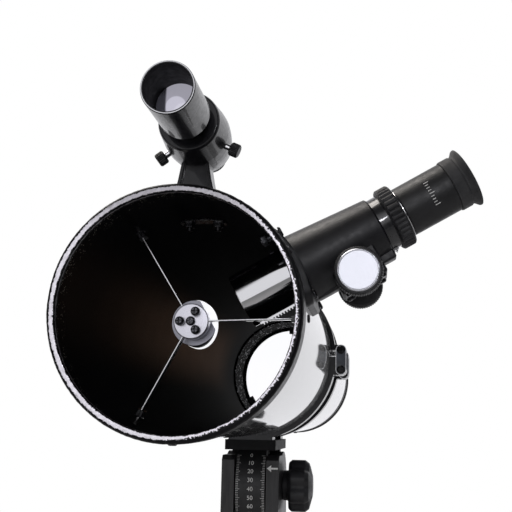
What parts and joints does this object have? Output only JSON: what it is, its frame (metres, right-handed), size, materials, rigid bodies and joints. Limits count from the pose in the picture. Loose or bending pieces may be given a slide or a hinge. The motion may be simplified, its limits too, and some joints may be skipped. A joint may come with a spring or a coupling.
{
  "type": "telescope",
  "caption": "Newtonian telescope: open-fronted tube with spider, hinged tube rings, tilted focuser with eyepiece, and finder, on a narrow fork over a round turning base.",
  "frame": {"origin": "mouth of the tripod socket in the underside of the ground board, on the azimuth axis", "axes": "-Z out of the tripod socket, +Y along the level tube from its open front end to the mirror end, +X to the focuser's side"},
  "size_m": [0.4099, 0.885, 0.8568],
  "materials": {
    "tube": "gloss black paint outside, matt black inside",
    "end_ring": "coarse textured black",
    "board": "black laminated particle board with edge band",
    "rubber": "matt black",
    "ptfe": "white PTFE",
    "steel": "zinc plated",
    "black_screw": "black oxide",
    "silver": "satin silver",
    "black_metal": "gloss black enamel on a casting",
    "black_plastic": "fine satin black",
    "gloss_plastic": "gloss black",
    "chrome": "polished",
    "glass": "coated lens",
    "mirror": "aluminised front surface"
  },
  "bodies": {
    "ground": {"ground_board": "board", "rubber_feet": "rubber", "azimuth_pads": "ptfe", "azimuth_hub": "steel", "azimuth_nut": "steel"},
    "turntable": {"turntable_board": "board", "fork_left": "board", "fork_right": "board", "fork_spacers": "board", "fork_screws": "black_screw", "altitude_axle": "steel", "friction_washers": "ptfe"},
    "tube": {"altitude_drum": "black_plastic", "cradle_plate": "black_metal", "cradle_screws": "black_screw", "ring_front_lower": "black_metal", "ring_rear_lower": "black_metal", "ring_links": "black_metal", "link_pins": "black_screw", "main_tube": "tube", "front_ring": "end_ring", "rear_ring": "end_ring", "tube_screws": "black_screw", "spider_hub": "silver", "spider_vanes": "steel", "secondary_screws": "black_screw", "secondary_holder": "silver", "secondary_mirror": "mirror", "mirror_cell": "black_metal", "mirror_support": "black_metal", "primary_mirror": "mirror", "mirror_clips": "black_plastic", "cell_springs": "steel", "lock_screws": "steel", "focuser_body": "black_metal", "pinion_cover": "black_metal", "focuser_bolts": "black_screw", "finder_tube": "gloss_plastic", "finder_objective": "glass", "finder_bracket": "gloss_plastic"},
    "altitude_knob": {"altitude_knob": "black_plastic"},
    "front_ring_top": {"ring_front_upper": "black_metal"},
    "rear_ring_top": {"ring_rear_upper": "black_metal"},
    "front_clamp": {"clamp_knob_front": "black_plastic"},
    "rear_clamp": {"clamp_knob_rear": "black_plastic"},
    "drawtube": {"drawtube": "chrome"},
    "eyepiece_clamp": {"eyepiece_clamp": "black_plastic"},
    "pinion": {"pinion_shaft": "steel", "focus_knobs": "black_plastic", "knob_caps": "silver"},
    "eyepiece": {"eyepiece_barrel": "chrome", "eyepiece_body": "black_plastic", "eyepiece_lenses": "glass"},
    "finder_eyepiece": {"finder_eyepiece": "gloss_plastic"},
    "finder_screw_left": {"finder_screw_left": "black_plastic"},
    "finder_screw_right": {"finder_screw_right": "black_plastic"},
    "finder_screw_top": {"finder_screw_top": "black_plastic"},
    "collimation_1": {"collimation_knob_1": "black_plastic"},
    "collimation_2": {"collimation_knob_2": "black_plastic"},
    "collimation_3": {"collimation_knob_3": "black_plastic"}
  },
  "joints": [
    {"name": "azimuth", "type": "hinge", "parent": "ground", "child": "turntable", "pos_m": [0, 0, 0.03], "axis": [0, 0, 1], "continuous": true},
    {"name": "altitude", "type": "hinge", "parent": "turntable", "child": "tube", "pos_m": [0, 0, 0.57], "axis": [-1, 0, 0], "range_deg": [-5, 80]},
    {"name": "altitude_knob_turn", "type": "hinge", "parent": "turntable", "child": "altitude_knob", "pos_m": [0.04, 0, 0.57], "axis": [1, 0, 0], "range_deg": [-90, 90]},
    {"name": "focus_slide", "type": "slide", "parent": "tube", "child": "drawtube", "axis": [0.8704, 0, 0.4924], "range_m": [-0.004, 0.055]},
    {"name": "pinion_spin", "type": "hinge", "parent": "tube", "child": "pinion", "pos_m": [0.10219, -0.314, 0.71859], "axis": [0, 1, 0], "range_deg": [-60, 810]},
    {"name": "eyepiece_clamp_turn", "type": "hinge", "parent": "drawtube", "child": "eyepiece_clamp", "pos_m": [0.12446, -0.314, 0.75842], "axis": [0.8704, 0, 0.4924], "range_deg": [-30, 30]},
    {"name": "eyepiece_slide", "type": "slide", "parent": "drawtube", "child": "eyepiece", "axis": [0.8704, 0, 0.4924], "range_m": [0, 0.028]},
    {"name": "finder_focus", "type": "hinge", "parent": "tube", "child": "finder_eyepiece", "pos_m": [0, -0.278, 0.8065], "axis": [0, 1, 0], "range_deg": [-180, 180]},
    {"name": "finder_screw_left_turn", "type": "hinge", "parent": "tube", "child": "finder_screw_left", "pos_m": [-0.01942, -0.344, 0.79239], "axis": [-0.809, 0, -0.5878], "range_deg": [-180, 180]},
    {"name": "finder_screw_right_turn", "type": "hinge", "parent": "tube", "child": "finder_screw_right", "pos_m": [0.02193, -0.344, 0.79674], "axis": [0.9135, 0, -0.4067], "range_deg": [-180, 180]},
    {"name": "finder_screw_top_turn", "type": "hinge", "parent": "tube", "child": "finder_screw_top", "pos_m": [-0.00251, -0.344, 0.83037], "axis": [-0.1045, 0, 0.9945], "range_deg": [-180, 180]},
    {"name": "collimation_1_turn", "type": "hinge", "parent": "tube", "child": "collimation_1", "pos_m": [0, 0.442, 0.733], "axis": [0, 1, 0], "range_deg": [-180, 180]},
    {"name": "collimation_2_turn", "type": "hinge", "parent": "tube", "child": "collimation_2", "pos_m": [0.03897, 0.442, 0.6655], "axis": [0, 1, 0], "range_deg": [-180, 180]},
    {"name": "collimation_3_turn", "type": "hinge", "parent": "tube", "child": "collimation_3", "pos_m": [-0.03897, 0.442, 0.6655], "axis": [0, 1, 0], "range_deg": [-180, 180]},
    {"name": "front_ring_open", "type": "hinge", "parent": "tube", "child": "front_ring_top", "pos_m": [0.081, -0.037, 0.6939], "axis": [0, 1, 0], "range_deg": [0, 100]},
    {"name": "front_clamp_turn", "type": "hinge", "parent": "front_ring_top", "child": "front_clamp", "pos_m": [-0.086, -0.037, 0.688], "axis": [0, 0, 1], "range_deg": [-180, 180]},
    {"name": "rear_ring_open", "type": "hinge", "parent": "tube", "child": "rear_ring_top", "pos_m": [0.081, 0.038, 0.6939], "axis": [0, 1, 0], "range_deg": [0, 100]},
    {"name": "rear_clamp_turn", "type": "hinge", "parent": "rear_ring_top", "child": "rear_clamp", "pos_m": [-0.086, 0.038, 0.688], "axis": [0, 0, 1], "range_deg": [-180, 180]}
  ],
  "couplings": [
    {"joint": "pinion_spin", "follows": "focus_slide", "rad_per_m": 256.41}
  ]
}
